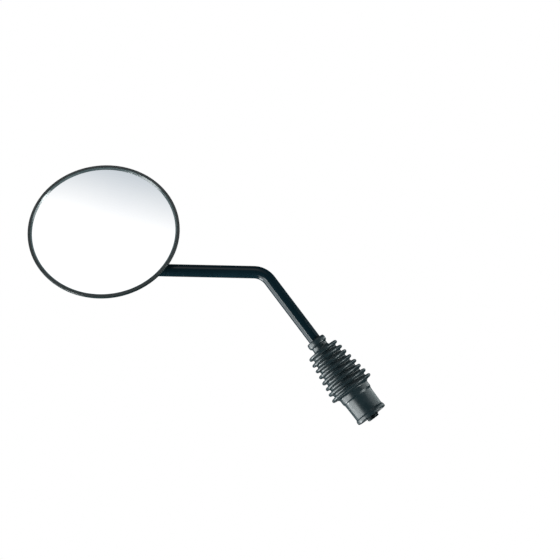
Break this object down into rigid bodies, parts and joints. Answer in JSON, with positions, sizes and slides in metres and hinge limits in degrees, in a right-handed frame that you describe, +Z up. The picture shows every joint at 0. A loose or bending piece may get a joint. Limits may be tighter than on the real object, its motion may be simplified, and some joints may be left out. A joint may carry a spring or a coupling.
{
  "type": "handlebar mirror",
  "caption": "Round convex rear-view mirror clamped to a bent rod that turns in a ball joint under a ribbed rubber boot, on a threaded stud for a handlebar bracket.",
  "frame": {"origin": "on the stud's axis, at the face of the lock washer that seats on the bracket", "axes": "+Z up the stud, the rod bends over in the XZ plane towards -X and up, and the glass faces -Y, towards the rider"},
  "size_m": [0.1469, 0.0548, 0.2819],
  "materials": {
    "zinc_steel": "bright zinc plating",
    "black_steel": "black oxide, satin",
    "spring_steel": "oiled spring steel",
    "nylon": "natural nylon",
    "boot_rubber": "moulded black rubber, satin",
    "ball_steel": "ground and greased",
    "rod_paint": "gloss black powder coat",
    "housing_plastic": "fine sand grain, black",
    "bezel_plastic": "satin black",
    "mirror_glass": "silvered convex glass",
    "gasket_rubber": "black",
    "foam": "closed-cell foam, adhesive backed",
    "screw_black": "black zinc",
    "insert_brass": "knurled brass"
  },
  "bodies": {
    "base": {"threaded_stud": "black_steel", "lock_washer": "black_steel", "lock_nut": "black_steel", "socket_body": "black_steel", "socket_retaining_nut": "zinc_steel", "disc_springs": "spring_steel", "thrust_washer": "spring_steel"},
    "swivel": {"lower_ball_seat": "nylon", "upper_ball_seat": "nylon", "rubber_boot": "boot_rubber"},
    "ball": {"ball": "ball_steel"},
    "stem": {"stem_rod": "rod_paint", "ball_screw": "zinc_steel"},
    "sleeve": {"clamp_sleeve": "nylon"},
    "head": {"mirror_housing": "housing_plastic", "rim_bezel": "bezel_plastic", "mirror_glass": "mirror_glass", "glass_gasket": "gasket_rubber", "foam_pad": "foam", "clamp_plate": "housing_plastic", "clamp_screws": "screw_black", "threaded_inserts": "insert_brass"}
  },
  "joints": [
    {"name": "stem_swivel", "type": "hinge", "parent": "base", "child": "swivel", "pos_m": [0, 0, 0.038], "axis": [0, 0, 1], "continuous": true},
    {"name": "stem_tilt", "type": "hinge", "parent": "swivel", "child": "ball", "pos_m": [0, 0, 0.038], "axis": [0, 1, 0], "range_deg": [-20, 20], "deforming": ["rubber_boot"]},
    {"name": "stem_spin", "type": "hinge", "parent": "ball", "child": "stem", "pos_m": [0, 0, 0.038], "axis": [0, 0, 1], "continuous": true},
    {"name": "head_slide", "type": "slide", "parent": "stem", "child": "sleeve", "axis": [-0.7826, 0, 0.6225], "range_m": [-0.05, 0.012]},
    {"name": "head_turn", "type": "hinge", "parent": "sleeve", "child": "head", "pos_m": [0, 0, 0.12305], "axis": [-0.7826, 0, 0.6225], "continuous": true}
  ]
}
